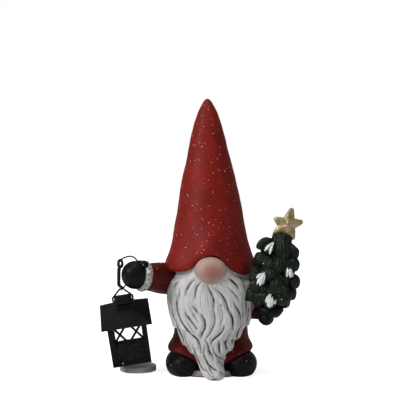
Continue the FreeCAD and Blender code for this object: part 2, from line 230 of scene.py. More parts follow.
def tree_paint(name):
    paint = Paint(name, rough=0.36, level=0.22)
    green = paint.mottle(0.005, 0.35, 0.65, (0.0038, 0.0100, 0.0046), (0.0095, 0.0210, 0.0098))
    # painted shade: the needle grooves, low on the ridge mark, take a darker green
    groove_shaded = paint.mix(paint.attribute("ridge"), (0.0020, 0.0038, 0.0022), green)
    dots = paint.specks(0.0048, 0.16, 0.55)
    spotted = paint.mix(paint.math("MULTIPLY", dots, 0.75), groove_shaded, (0.62, 0.68, 0.66))
    snowy = paint.mottle(0.0018, 0.3, 0.62, (0.50, 0.53, 0.51), (0.80, 0.82, 0.80), 3)
    paint.colour(paint.mix(paint.attribute("snow"), spotted, snowy))
    return paint.bump(paint.noise(0.0009, 3), 0.3).mat


def gold_paint(name):
    paint = Paint(name, rough=0.34, metallic=0.55)
    paint.colour(paint.mottle(0.006, 0.35, 0.65, (0.25, 0.185, 0.085), (0.44, 0.36, 0.20)))
    paint.uneven(0.004, 3, 0.3, 0.2)
    return paint.bump(paint.noise(0.003, 3), 0.5, 0.0006).mat


def sheet_metal(name, base=(0.0028, 0.0028, 0.0031), rough=0.5):
    paint = Paint(name, rough=rough, level=0.14)
    paint.colour(paint.mottle(0.014, 0.45, 0.8, base, tone(base, 2.6)))
    paint.uneven(0.006, 4, 0.25, rough - 0.12)
    return paint.bump(paint.noise(0.0030, 4), 0.10, 0.0002).mat


def cast_stone(name, base, rim=None, painted_top_light=None):
    paint = Paint(name, rough=0.72, level=0.25)
    mottled = paint.mottle(0.009, 0.3, 0.7, tone(base, 0.86), tone(base, 1.14), 5)
    grain = paint.mottle(0.0012, 0.55, 0.8, mottled, tone(base, 0.7))
    if rim is not None:
        height = paint.node("ShaderNodeSeparateXYZ")
        paint.link(paint.place, height.inputs["Vector"])
        low = paint.math("SUBTRACT", 1.0, paint.spread(height.outputs["Z"], 0.0006, 0.0013))
        grain = paint.mix(low, grain, rim)
    # painted light: faces that point up are mixed toward a pale colour, brightening the top where the
    # lantern's shadow falls
    if painted_top_light is not None:
        facing = paint.node("ShaderNodeNewGeometry")
        split = paint.node("ShaderNodeSeparateXYZ")
        paint.link(facing.outputs["Normal"], split.inputs["Vector"])
        upward = paint.math("MULTIPLY", paint.spread(split.outputs["Z"], 0.35, 0.95),
                            paint.math("ADD", paint.noise(0.006, 4), 0.4), clamp=True)
        grain = paint.mix(upward, grain, painted_top_light)
    paint.colour(grain)
    return paint.bump(paint.noise(0.0014, 5), 0.4, 0.0003).mat


def clear_sheet(name):
    paint = Paint(name, rough=0.35, level=0.10)
    paint.shader.inputs["Alpha"].default_value = 0.05
    paint.colour(paint.mottle(0.012, 0.3, 0.7, (0.10, 0.11, 0.11), (0.16, 0.17, 0.17), 3))
    return paint.bump(paint.noise(0.02, 2), 0.05, 0.0002).mat


def bare_steel(name, rough=0.3):
    paint = Paint(name, rough=rough, metallic=1.0)
    paint.colour(paint.mix(paint.noise(0.002, 3), (0.45, 0.45, 0.46), (0.75, 0.75, 0.76)))
    return paint.bump(paint.noise(0.0008, 3, stretch=(1, 1, 0.1)), 0.2, 0.0001).mat


HAT_RED = (0.192, 0.0085, 0.0052)
COAT_RED = (0.084, 0.0034, 0.0024)
nose_low, _, nose_mid = cad("nose")
MATS = {
    # darker copy of the coat paint: painted shade for the sleeve that sits behind the tree
    "coat_painted_shade": glitter_red("coat_shaded", tone(COAT_RED, 0.40), 0.85),
    "hat": glitter_red("hat_glitter", HAT_RED, 0.62),
    "coat": glitter_red("coat_red", COAT_RED, 0.95),
    "nose": nose_paint("nose_skin", tuple(v * MM for v in (nose_mid.x + 1.0, nose_low.y - 0.2,
                                                           nose_mid.z - 0.8))),
    # the beard's near-black second colour is painted shade for its grooves and edges
    "beard": pale_with_painted_shade("beard_white", (0.62, 0.62, 0.61), (0.022, 0.024, 0.032), "painted_shade"),
    "black": black_paint("black_gloss"),
    "fur": fur_paint("cuff_fur"),
    "tree": tree_paint("tree_green"),
    "gold": gold_paint("star_gold"),
    "metal": sheet_metal("lantern_black"),
    "wire": sheet_metal("wire_black", (0.010, 0.010, 0.010), 0.36),
    "base": cast_stone("base_cast", (0.34, 0.285, 0.275), (0.10, 0.012, 0.010)),
    # the disc's pale top is painted light
    "disc": cast_stone("disc_cast", (0.42, 0.385, 0.365), painted_top_light=(0.97, 0.96, 0.94)),
    "pane": clear_sheet("pane_clear"),
    "steel": bare_steel("rivet_steel"),
}
CARRIED = {
    "base": ["base_plate"], "steel": ["arm_rod", "rivet"], "disc": ["foot_disc"],
    "metal": ["lantern_floor", "side_front", "side_right", "side_back", "side_left", "roof",
              "chimney", "hood"],
    "wire": ["bail"], "pane": ["pane_front", "pane_right", "pane_back", "pane_left"],
}
for kind, names in CARRIED.items():
    for node_name in names:
        piece = NODES[node_name]
        piece.data.materials.clear()
        piece.data.materials.append(MATS[kind])


# ---- mesh helpers -----------------------------------------------------------------------

def add_mesh(name, points, faces, material, body, replaced=(), marks=None):
    """points in millimetres; marks is {attribute: one value per point}."""
    mesh = bpy.data.meshes.new(name)
    mesh.from_pydata((np.asarray(points, float) * MM).tolist(), [], faces)
    mesh.validate()
    for key, values in (marks or {}).items():
        layer = mesh.attributes.new(key, "FLOAT", "POINT")
        layer.data.foreach_set("value", np.asarray(values, np.float32))
    mesh.polygons.foreach_set("use_smooth", [True] * len(mesh.polygons))
    mesh.materials.append(MATS[material])
    piece = bpy.data.objects.new(name, mesh)
    bpy.context.scene.collection.objects.link(piece)
    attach(piece, body)
    if replaced:
        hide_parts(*replaced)
    return piece


def grid_faces(rows, columns, wrap, start=0):
    faces = []
    last = columns if wrap else columns - 1
    for i in range(rows - 1):
        for j in range(last):
            k = (j + 1) % columns
            faces.append((start + i * columns + j, start + i * columns + k,
                          start + (i + 1) * columns + k, start + (i + 1) * columns + j))
    return faces


def smoothstep(value, low, high):
    t = np.clip((np.asarray(value, float) - low) / (high - low), 0.0, 1.0)
    return t * t * (3 - 2 * t)


def spline(points, count):
    """Catmull-Rom curve through given points, count samples evenly in parameter."""
    p = np.asarray(points, float)
    p = np.vstack([2 * p[0] - p[1], p, 2 * p[-1] - p[-2]])
    out = []
    for t in np.linspace(0, len(p) - 3 - 1e-9, count):
        i = int(t)
        f = t - i
        a, b, c, d = p[i:i + 4]
        out.append(0.5 * (2 * b + (c - a) * f + (2 * a - 5 * b + 4 * c - d) * f * f
                          + (3 * b - a - 3 * c + d) * f ** 3))
    return np.array(out)


def lump(x, y, z, size, seed=0.0):
    """Smooth noise, about -0.5..0.5, for a point in millimetres."""
    return noise.noise(Vector((x / size + seed, y / size - seed, z / size + 3.1 * seed)))


def lumps(points, size, seed=0.0):
    return np.array([lump(p[0], p[1], p[2], size, seed) for p in points])


# ---- hat --------------------------------------------------------------------------------

HAT_TOP = cad("hat_shell")[1].z
HAT_LENGTH = 181.0
FLARE_START = 112.0
LIP_HEIGHT, LIP_WIDTH = 2.6, 3.0
# drop below the top and radius
HAT_OUTLINE = np.array([(0.0, 0.0), (0.5, 1.6), (1.6, 3.1), (3.4, 4.6), (6.5, 6.3), (13.5, 10.1),
                        (27.6, 14.5), (44.0, 18.9), (62.5, 23.0), (78.5, 26.9), (97.5, 31.0),
                        (115.5, 34.4), (134.5, 37.3), (150.5, 39.9), (160.5, 42.6),
                        (168.5, 45.7), (173.0, 47.6), (177.0, 48.7), (180.0, 48.6)])
HAT_EDGE = 105.5
# place across and height of the brim's lower edge in front
BRIM_EDGE = np.array([(-52, 106.8), (-47, 106.4), (-40, 106.2), (-31, 106.6), (-24.5, 107.8),
                      (-18, 111.8), (-12, 119.0), (-6, 122.4), (1, 123.4), (7, 122.2),
                      (12, 118.2), (16.5, 112.6), (21, 108.6), (28, 104.8), (35, 102.6),
                      (42, 102.2), (48, 104), (52, 105)])


def brim_edge(x):
    """Height of the brim's lower edge in front: it arches over the nose."""
    total = sum(np.interp(x + shift, BRIM_EDGE[:, 0], BRIM_EDGE[:, 1])
                for shift in (-3.0, -1.5, 0.0, 1.5, 3.0))
    return total / 5.0


def make_hat():
    around = 288
    drop = np.concatenate([np.linspace(0, 1, 14) ** 1.6 * 8.0, np.linspace(8.0, HAT_LENGTH, 170)[1:]])
    reach = np.interp(drop, HAT_OUTLINE[:, 0], HAT_OUTLINE[:, 1])
    kernel = np.ones(7) / 7.0
    softened = np.convolve(np.pad(reach, 3, mode="edge"), kernel, "valid")
    reach[16:] = softened[16:]
    angle = np.linspace(0, 2 * math.pi, around, endpoint=False)
    rows = []
    for fall, r in zip(drop, reach):
        z = HAT_TOP - fall
        lean = -0.6 - 3.4 * (z - 110.0) / 178.5
        share = smoothstep(fall, FLARE_START, HAT_LENGTH)
        corner = np.exp(-((angle - math.radians(308)) / math.radians(22)) ** 2) * share ** 2
        x = (r + 5.0 * corner) * np.sin(angle)
        y = -(r + 5.0 * corner) * np.cos(angle)
        front = smoothstep(-y, 0.0, 26.0)
        edge_height = brim_edge(x) * front + HAT_EDGE * (1 - front)
        lift = (edge_height + LIP_HEIGHT - HAT_TOP + HAT_LENGTH) * share
        nose_swell = 2.2 * np.exp(-((x - 1) / 16.0) ** 2) * smoothstep(-y, 10, 35)
        nose_swell = nose_swell * np.exp(-((fall - 158.0) / 16.0) ** 2)
        y = y - nose_swell
        ring = np.stack([x + lean, y, z + lift], 1)
        rows.append(ring)
    outer = np.array(rows)
    flat = outer.reshape(-1, 3)
    bulge = lumps(flat, 34.0, 1.3) * 1.1 + lumps(flat, 13.0, 4.1) * 0.35
    fade = np.clip(np.repeat(reach, around) / 14.0, 0, 1)
    radial = flat * np.array([1, 1, 0])
    radial /= np.maximum(np.linalg.norm(radial, axis=1), 1e-6)[:, None]
    flat = flat + radial * (bulge * fade)[:, None]
    outer = flat.reshape(outer.shape)
    edge = outer[-1]
    direction = edge * np.array([1, 1, 0])
    direction /= np.linalg.norm(direction, axis=1)[:, None]
    curl = []
    for turn in np.linspace(0, math.pi, 12)[1:]:
        inward = LIP_WIDTH * (1 - math.cos(turn))
        fall = LIP_HEIGHT * math.sin(turn)
        curl.append(edge - direction * inward - np.array([0, 0, 1]) * fall)
    inner = [curl[-1] - direction * 2.0 + np.array([0, 0, 3.0]),
             curl[-1] - direction * 3.0 + np.array([0, 0, 12.0])]
    rings = np.concatenate([outer, np.array(curl), np.array(inner)])
    points = rings.reshape(-1, 3)
    faces = grid_faces(len(rings), around, True)
    return add_mesh("hat", points, faces, "hat", "figure", ["hat_shell"])


make_hat()


# ---- nose -------------------------------------------------------------------------------

NOSE_WIDTH, NOSE_DEPTH, NOSE_UPPER, NOSE_LOWER = 16.6, 15.0, 14.2, 14.6
NOSE_PLACE = np.array([nose_mid.x, -47.0, nose_mid.z - 0.5])


def make_nose():
    rows, around = 64, 96
    points = []
    for i in range(rows):
        polar = math.pi * i / (rows - 1)
        for j in range(around):
            turn = 2 * math.pi * j / around
            x = math.sin(polar) * math.cos(turn)
            y = math.sin(polar) * math.sin(turn)
            z = math.cos(polar)
            taper = 1.0 - 0.13 * smoothstep(-z, -0.1, 1.0)
            points.append((x * NOSE_WIDTH * taper, y * NOSE_DEPTH * taper,
                           z * (NOSE_LOWER if z < 0 else NOSE_UPPER)))
    points = np.array(points) + NOSE_PLACE
    shift = lumps(points, 18.0, 2.2) * 0.6
    points[:, 1] -= shift
    return add_mesh("nose_ball", points, grid_faces(rows, around, True), "nose", "figure",
                    ["nose"])


make_nose()


# ---- coat -------------------------------------------------------------------------------

HEM_MIDDLE, HEM_RISE, HEM_BACK = 10.5, 12.0, 6.2
COAT_TOP = 112.0


def hem_height(x, y):
    """Lower edge of the coat: low in the middle in front, down to the base behind."""
    front = HEM_MIDDLE + HEM_RISE * smoothstep(np.abs(x), 2.0, 38.0)
    turn = smoothstep(y, 4.0, 16.0)
    return front * (1 - turn) + HEM_BACK * turn


def make_coat():
    around, rows = 240, 90
    profile = np.array([(0.0, 43.4), (1.0, 44.9), (2.6, 45.6), (5.0, 45.1), (8.0, 43.5),
                        (12.0, 41.2), (17.0, 39.7), (25.0, 39.1), (40.0, 39.6), (60.0, 41.0),
                        (76.0, 42.3), (96.0, 40.5)])
    angle = np.linspace(0, 2 * math.pi, around, endpoint=False)
    steps = np.concatenate([np.linspace(0, 30, 60), np.linspace(30, 96, 31)[1:]])
    rings = []
    for rise in steps:
        r = np.interp(rise, profile[:, 0], profile[:, 1])
        low = 1 - smoothstep(rise, 4.0, 24.0)
        plan = (np.abs(np.sin(angle)) ** 3.2 + np.abs(np.cos(angle)) ** 3.2) ** (-1 / 3.2)
        square = 1 + (plan - 1) * low * smoothstep(np.cos(angle), 0.0, 0.5)
        x = r * np.sin(angle) * square
        y = -r * np.cos(angle) * square
        x = x * np.where(x > 0, 1 - 0.045 * low, 1 + 0.010 * low)
        hem = hem_height(x, y)
        z = hem + (COAT_TOP - hem) * (rise / 96.0)
        fold = 0.8 * np.sin(5 * angle + 0.7) + 0.5 * np.sin(9 * angle + 2.0)
        swell = fold * math.exp(-((rise - 6.0) / 14.0) ** 2)
        scale = (r + swell) / r
        rings.append(np.stack([x * scale, y * scale, z], 1))
    foot = rings[0]
    under = [foot * np.array([0.975, 0.975, 1]) - np.array([0, 0, 0.9]),
             foot * np.array([0.94, 0.94, 1]) - np.array([0, 0, 0.6]),
             foot * np.array([0.80, 0.80, 1]) + np.array([0, 0, 2.0]),
             foot * np.array([0.66, 0.66, 1]) + np.array([0, 0, 3.0]),
             foot * np.array([0.66, 0.66, 0]) + np.array([0, 0, 6.1])]
    rings = np.array(list(reversed(under)) + rings)
    points = rings.reshape(-1, 3)
    points = points + (lumps(points, 22.0, 6.0) * 0.8)[:, None] * np.array([1, 1, 0]) * 0.7
    return add_mesh("coat", points, grid_faces(len(rings), around, True), "coat", "figure",
                    ["body_shell"])


make_coat()


# ---- beard ------------------------------------------------------------------------------

BEARD_TOP = 114.0
BEARD_REACH, BEARD_TIP_REACH, CHEST_RADIUS = 57.0, 11.0, 43.5
# outline: height and place across
BEARD_LEFT = ((114, -30), (110, -34), (105.8, -38.3), (100, -41.2), (92, -44.4), (83.6, -45.6),
              (73, -45), (63, -43.3), (55.3, -41.2), (48.8, -39.4), (48, -35.8), (41, -33.8),
              (35.3, -31.6), (31.8, -29.8), (31.2, -26.4), (26, -23.7), (24.2, -21.6),
              (23.6, -18.9), (20.2, -17), (13.5, -13.7), (8.5, -11.6), (3.5, -8.7), (0, -4.5))
BEARD_RIGHT = ((114, 29), (108, 35), (103, 38.1), (96, 40.5), (90, 42.5), (83, 44), (76.2, 44.4),
               (67.8, 44.2), (62, 42.2), (56, 39.7), (50.6, 38.3), (50, 35.3), (47, 32.2),
               (42, 30.6), (38.6, 28.6), (36.6, 23), (30.3, 22.6), (27.4, 21.3), (25.8, 17.4),
               (23.6, 14.6), (19.4, 14.7), (16.1, 12.8), (11, 12.2), (5.2, 13.4), (1, 12.2),
               (0, 9))


def beard_sides(z):
    order = np.array(BEARD_LEFT[::-1])
    left = np.interp(z, order[:, 0], order[:, 1])
    order = np.array(BEARD_RIGHT[::-1])
    right = np.interp(z, order[:, 0], order[:, 1])
    wide = smoothstep(z, 15.0, 55.0)
    return left * (1.006 + 0.018 * wide), right * (1.012 + 0.028 * wide)


def beard_front(x, z, side):
    """How far forward the beard's surface lies, without its locks; side is 0 mid, 1 edge."""
    crown = BEARD_REACH * np.sqrt(np.clip(1 - ((z - 45.0) / 118.0) ** 2, 0, 1))
    body = np.sqrt(np.maximum(CHEST_RADIUS ** 2 - x ** 2, 100.0))
    edge = np.minimum(crown - 5.0, np.maximum(body + 1.0, 27.0))
    drop = side ** 2.6
    front = crown * (1 - drop) + edge * drop
    brim = brim_edge(x)
    tuck = smoothstep(z, brim - 10.0, brim - 2.0)
    front = front + (np.minimum(front, body) - front) * tuck
    return front + BEARD_TIP_REACH * (1 - smoothstep(z, 0.0, 19.0))


# middle lines of the locks: places across and up
LOCKS = (
    ((-36, 105), (-41, 94), (-43, 82), (-42, 67), (-38, 52), (-36, 46)),
    ((-32, 103), (-38, 92), (-40, 78), (-38, 62), (-32, 48), (-28, 32)),
    ((-25, 103), (-33, 92), (-36, 79), (-34, 62), (-27, 48), (-22, 36), (-21, 25)),
    ((-20, 103), (-28, 92), (-31, 79), (-30, 65), (-22, 52), (-15, 42), (-12, 31), (-10, 21)),
    ((-15, 100), (-21, 92), (-25, 82), (-26, 72), (-21, 61), (-15, 51), (-11, 42)),
    ((-13, 98), (-18, 88), (-21, 78), (-17, 67), (-10, 56), (-8, 48), (-10, 41)),
    ((-10, 95), (-13, 86), (-15, 76), (-10, 66), (-5, 57), (-4, 50), (-8, 41), (-10, 36)),
    ((-5, 93), (-7, 84), (-7, 74), (-4, 64), (0, 56), (-1, 46), (-6, 39)),
    ((-2, 93), (0, 84), (2, 74), (5, 64), (6, 56), (4, 46), (1, 39), (0, 33)),
    ((3, 93), (7, 83), (11, 72), (12, 62), (12, 52), (9, 44), (3, 37), (1, 32)),
    ((9, 93), (14, 83), (16, 72), (18, 62), (18, 52), (16, 44), (10, 36), (9, 31)),
    ((14, 97), (20, 88), (23, 78), (24, 66), (25, 56), (22, 46), (17, 37), (16, 30), (19, 26)),
    ((17, 100), (24, 92), (28, 83), (29, 71), (30, 59), (28, 50), (23, 42), (21, 36), (22, 31)),
    ((20, 104), (27, 96), (32, 86), (34, 72), (34, 61), (32, 51), (29, 44), (30, 39)),
    ((23, 106), (32, 98), (37, 86), (38, 72), (37, 61), (35, 49)),
    ((27, 106), (35, 98), (40, 86), (43, 72), (42, 62), (39, 52), (37, 49)),
    ((-28, 47), (-25, 37), (-21, 27)),
    ((-20, 44), (-20, 34), (-17, 25), (-14, 16), (-10, 8), (-7, 2)),
    ((-17, 46), (-15, 36), (-15, 26), (-11, 16), (-5, 6), (1, 1)),
    ((-10, 44), (-12, 36), (-10, 26), (-7, 15), (-2, 6), (5, 2)),
    ((-4, 40), (-5, 31), (-4, 23), (0, 14), (5, 8), (10, 3)),
    ((1, 34), (0, 27), (1, 19), (6, 12), (11, 8), (12, 4)),
    ((6, 39), (5, 31), (6, 25), (11, 21), (14, 18)),
    ((11, 40), (10, 32), (12, 26), (16, 24)),
)


# grooves between the locks, darkened with painted shade: places across and up, half-width, strength
GROOVES = (
    (((-16.2, 100), (-21.2, 95.4), (-25, 88.7), (-25.8, 82.9)), 0.55, 0.75),
    (((-10.3, 97), (-14.5, 92.9), (-16.2, 86.2), (-16.4, 80.4)), 0.55, 0.75),
    (((-3.7, 93.7), (-1.6, 88.7), (1.3, 82.9), (2.4, 76.2), (1.3, 70.3)), 0.75, 0.9),
    (((3, 91.2), (8.9, 86.2), (13.9, 78.7), (16.4, 70.3), (20.1, 62.8), (21, 55.3), (20.6, 50.3)),
     0.85, 1.0),
    (((16.4, 101.2), (22.2, 96.6), (27.2, 90.4)), 0.85, 1.0),
    (((15.5, 92.9), (20.6, 87.9), (25.6, 82), (28.1, 77.9)), 0.5, 0.7),
    (((26.4, 102.9), (30.6, 99.6), (33.5, 93.7), (34.8, 87.9)), 0.5, 0.75),
    (((21.4, 79.5), (23.9, 72.8), (27.2, 67.8), (28.9, 62.8), (29.3, 57)), 0.8, 0.95),
    (((33.5, 82), (34.8, 76.2), (35.2, 69.5), (34.3, 61.2)), 0.6, 0.8),
    (((39, 71.2), (38.1, 64.5), (36.8, 57.8), (35.6, 52.8)), 0.6, 0.75),
    (((-34.7, 77.9), (-34.7, 70.3), (-32.9, 62), (-29.5, 55.3), (-23.7, 48.6), (-17.9, 43.6),
      (-13.7, 39.4), (-11.2, 32.8), (-10.3, 26.9)), 0.75, 0.95),
    (((-26.6, 70.3), (-25.8, 65.3), (-21.2, 59.5), (-16.2, 52.8), (-14.5, 50.3)), 0.75, 0.95),
    (((-22, 72.8), (-19.5, 67.8), (-16.2, 62), (-12.8, 57)), 0.4, 0.6),
    (((-19.5, 74.1), (-16.2, 70), (-13.7, 67)), 0.5, 0.8),
    (((-12, 67), (-9.5, 63.7), (-7, 59.5), (-6.6, 52.8), (-9.5, 46.1), (-10.8, 41.9)), 0.75, 0.9),
    (((-1.6, 77.9), (1.3, 72.8), (2.6, 66.2), (3.4, 59.5), (1.3, 52.8), (-2, 46.1), (-7, 41.1)),
     0.5, 0.65),
    (((9.7, 75.3), (9.3, 72.8)), 0.4, 0.8),
    (((12.6, 55.3), (11.4, 50.3), (7.2, 45.3), (1.3, 40.3), (-0.3, 36.1)), 0.65, 0.9),
    (((-36.2, 57.8), (-35, 51.1), (-32, 44.5), (-29.1, 39.4), (-27.9, 32.8)), 0.8, 0.95),
    (((-29.5, 47.8), (-27, 40.3), (-24.5, 32.8), (-22, 26.9)), 0.5, 0.75),
    (((-19.5, 35.3), (-17, 27.8), (-15.8, 22.7), (-12.8, 16.1), (-8.7, 11), (-5.3, 9.4)), 0.75, 0.9),
    (((-5.3, 21.1), (-3.7, 16.1), (0.5, 12.3), (4.7, 10.2)), 0.85, 1.0),
    (((-7, 41.1), (-3.7, 35.3), (-2.8, 29.4), (0.5, 24.4), (2.2, 19.4)), 0.7, 0.8),
    (((1.3, 34.4), (2.2, 28.6), (5.5, 23.6), (11.4, 19.4), (13, 17.7)), 0.5, 0.75),
    (((7.2, 39.4), (7.2, 32.8), (8, 26.9)), 0.8, 0.95),
    (((12.2, 39.4), (13.9, 33.6), (16.4, 29.4)), 0.6, 0.75),
    (((19.7, 48.6), (16.4, 42.8), (13.9, 36.9), (14.7, 31.1), (17.2, 26.9)), 0.6, 0.8),
    (((23.1, 39.4), (20.6, 37.8), (21.4, 34.4)), 0.8, 0.95),
    (((30.6, 53.6), (27.2, 47.8), (25.6, 41.9), (26.4, 39.4)), 0.9, 0.95),
    (((8, 8.5), (12.2, 5.2)), 0.6, 0.9),
    (((0.5, 1.8), (5.5, 1.9)), 0.5, 0.9),
    (((9.7, 13.6), (12.2, 12.7)), 0.6, 0.8),
    (((-32, 98.7), (-37, 92.9), (-38.6, 88)), 0.8, 0.55),
    (((-33, 90), (-32.9, 82.9), (-33.4, 79)), 0.5, 0.5),
    (((-40.4, 69.5), (-39.1, 61.2), (-37, 54.5)), 0.6, 0.6),
    (((-42.5, 84), (-42, 76), (-41.2, 70)), 0.5, 0.45),
    (((31, 75), (32, 68), (31, 60), (29, 52)), 0.45, 0.55),
    (((-28, 66), (-26, 60), (-21, 52), (-17, 47)), 0.4, 0.45),
    (((-34.9, 83), (-35.2, 75), (-34.6, 68), (-33, 61)), 0.85, 1.0),
    (((41.5, 74), (42, 66), (41, 57)), 0.7, 0.75),
    (((37.2, 76), (37.6, 68), (36.5, 60)), 0.6, 0.7),
    (((6, 80), (10, 70), (11, 62), (10, 56)), 0.4, 0.4),
    (((-5, 36), (-8, 28), (-5, 18), (-1, 10), (3, 6)), 0.45, 0.6),
    (((-9, 20), (-6, 12), (-2, 6), (3, 3.4)), 0.5, 0.6),
    (((4, 24), (8, 17), (11.5, 15)), 0.5, 0.6),
)


def segment_gap(x, z, start, step):
    """Distance of each point from a short segment, and its place along it, 0 to 1."""
    dx, dz = x - start[0], z - start[1]
    t = np.clip((dx * step[0] + dz * step[1]) / (step @ step), 0, 1)
    return np.hypot(dx - t * step[0], dz - t * step[1]), t


def groove_field(x, z):
    """Distance to the nearest groove, depth of the cut there and how dark its painted shade is."""
    nearest = np.full(x.shape, 1e9)
    cut = np.zeros(x.shape)
    dark = np.zeros(x.shape)
    for path, wide, strength in GROOVES:
        line = spline(path, 26)
        swing = np.sin(np.pi * np.linspace(0.04, 0.96, 26)) ** 0.6
        for start, step, taper in zip(line[:-1], line[1:] - line[:-1], swing):
            gap = segment_gap(x, z, start, step)[0]
            nearest = np.minimum(nearest, gap + 2.0 * (1 - taper))
            reach = wide * (0.45 + 0.55 * taper)
            cut = np.maximum(cut, strength * taper * np.exp(-(gap / (reach * 1.9)) ** 2))
            dark = np.maximum(dark, strength * taper * np.exp(-(gap / reach) ** 2))
    return nearest, cut, dark


def lock_lines():
    """Dense centre lines of the locks with their half-widths."""
    lines = []
    for path in LOCKS:
        line = spline(path, 46)
        t = np.linspace(0, 1, 46)
        half = 3.9 * smoothstep(t, -0.3, 0.2) * (1 - 0.85 * smoothstep(t, 0.6, 1.02))
        lines.append((line, half))
    return lines


def lock_field(x, z):
    """For each point: its lock, the room to the next one, side offset and place along it."""
    best = np.full(x.shape, 1e9)
    second = np.full(x.shape, 1e9)
    chosen = np.zeros(x.shape, int)
    offset = np.zeros(x.shape)
    place = np.zeros(x.shape)
    for index, (line, half) in enumerate(lock_lines()):
        step = line[1:] - line[:-1]
        near = np.full(x.shape, 1e9)
        side = np.zeros(x.shape)
        where = np.zeros(x.shape)
        for k in range(len(step)):
            gap, t = segment_gap(x, z, line[k], step[k])
            cross = (x - line[k, 0]) * step[k, 1] - (z - line[k, 1]) * step[k, 0]
            reach = gap - half[k]
            closer = reach < near
            near = np.where(closer, reach, near)
            side = np.where(closer, np.sign(cross) * gap, side)
            where = np.where(closer, (k + t) / len(step), where)
        first = near < best
        second = np.where(first, best, np.minimum(second, near))
        offset = np.where(first, side, offset)
        place = np.where(first, where, place)
        chosen = np.where(first, index, chosen)
        best = np.minimum(best, near)
    return chosen, second - best, offset, place


def make_beard():
    rows, columns = 250, 210
    heights = np.linspace(BEARD_TOP, 0.4, rows)
    left, right = beard_sides(heights)
    across = np.linspace(-1, 1, columns)
    x = (left + right)[:, None] / 2 + across * (right - left)[:, None] / 2
    z = np.repeat(heights[:, None], columns, 1)
    side = np.abs(np.repeat(across[None, :], rows, 0))
    chosen, room, offset, place = lock_field(x, z)
    wave = np.array([[lump(a, 0.0, b, 9.0, 2.0) for a, b in zip(ra, rb)]
                     for ra, rb in zip(x, z)])
    nearest, cut, dark = groove_field(x, z)
    strand = np.cos(offset * 2.6 + chosen * 1.7 + 1.2 * np.sin(place * 6 + chosen))
    puff = 2.0 * (1 - np.exp(-nearest / 3.0)) + 0.5 * (1 - np.exp(-room / 1.4))
    relief = puff + 0.13 * strand - 1.5 * cut
    fade = 1 - smoothstep(side, 0.93, 1.0)
    front = beard_front(x, z, side) + relief * (0.35 + 0.65 * fade)
    front = front - 5.0 * np.clip((side - 0.985) / 0.015, 0, 1)
    front = front - 3.5 * (1 - smoothstep(z, 0.0, 7.0))
    # painted shade on top of the grooves: where locks crowd together, in the troughs of the strands
    # and along the side edges
    soft = 0.20 * np.exp(-(room / 0.8) ** 2) * smoothstep(wave, -0.25, 0.25)
    hair = 0.12 * smoothstep(-strand, 0.8, 1.0) * smoothstep(wave, -0.1, 0.3)
    rim = 0.30 * smoothstep(side, 0.985, 1.0)
    painted_shade = np.clip(dark + soft + hair + rim, 0, 1)
    front_points = np.stack([x, -front, z], 2)
    ends = []
    for column in (0, -1):
        back = front_points[:, column].copy()
        back[:, 1] = np.maximum(back[:, 1] + 9.0, -34.0)
        back[:, 0] *= 0.97
        inner = back.copy()
        inner[:, 1] = np.minimum(inner[:, 1] + 9.0, -8.0)
        inner[:, 0] *= 0.82
        ends.append((back, inner))
    points = np.concatenate([ends[0][1][:, None], ends[0][0][:, None], front_points,
                             ends[1][0][:, None], ends[1][1][:, None]], 1)
    # the hidden side ends take a middling painted shade
    shade = np.pad(painted_shade, ((0, 1), (2, 2)), constant_values=0.45)
    under = points[-1].copy()
    under[:, 1] += 9.0
    points = np.concatenate([points, under[None]], 0).reshape(-1, 3)
    shade = shade.reshape(-1)
    return add_mesh("beard_locks", points, grid_faces(rows + 1, columns + 4, False), "beard",
                    "figure", ["beard"], marks={"painted_shade": shade})


make_beard()


# ---- boots ------------------------------------------------------------------------------

def rounded_ball(rows=56, around=80):
    """Unit sphere points, pole to pole."""
    polar = np.linspace(0, math.pi, rows)
    turn = np.linspace(0, 2 * math.pi, around, endpoint=False)
    grid = [(math.sin(p) * math.cos(t), math.sin(p) * math.sin(t), math.cos(p))
            for p in polar for t in turn]
    return np.array(grid), grid_faces(rows, around, True)


BOOT_ACROSS, BOOT_FORWARD, BOOT_HEIGHT = 29.0, -22.5, 12.0
BOOT_SIZE = (18.3, 26.5, 14.2)
GROUND = 0.05

for side, node in ((-1, "boot_left"), (1, "boot_right")):
    ball, faces = rounded_ball()
    centre = np.array([side * BOOT_ACROSS, BOOT_FORWARD, BOOT_HEIGHT])
    shape = ball * np.array(BOOT_SIZE)
    shape[:, 2] = np.where(shape[:, 2] < 0, shape[:, 2] * 1.3, shape[:, 2])
    toe = smoothstep(-ball[:, 1], 0.0, 1.0)
    shape[:, 2] += 0.6 * toe * (shape[:, 2] > 0)
    points = centre + shape
    points[:, 2] = np.maximum(points[:, 2], GROUND)
    points += (lumps(points, 16.0, 8.0 + side) * 0.7)[:, None] * ball
    limit = hem_height(points[:, 0], np.full(len(points), -40.0)) + 0.4
    over = np.maximum(points[:, 2] - limit + 1.0, 0.0)
    points[:, 2] -= np.where(over > 0, over - 1.4 * (1 - np.exp(-over / 1.4)), 0.0)
    points[:, 2] = np.maximum(points[:, 2], GROUND)
    add_mesh(node.replace("boot", "boot_form"), points, faces, "black", "figure", [node])


# ---- right arm --------------------------------------------------------------------------

MITTEN_RADIUS = 14.3
HAND = np.array(cad("mitten_right")[0]) + MITTEN_RADIUS
ROD_MIDDLE = np.array(cad("arm_rod")[2])
ARM = (HAND - ROD_MIDDLE) / np.linalg.norm(HAND - ROD_MIDDLE)
SHOULDER = ROD_MIDDLE - ARM * 19.0


def frame_of(direction):
    side = np.cross(direction, [0, 0, 1.0])
    side /= np.linalg.norm(side)
    return side, np.cross(side, direction)


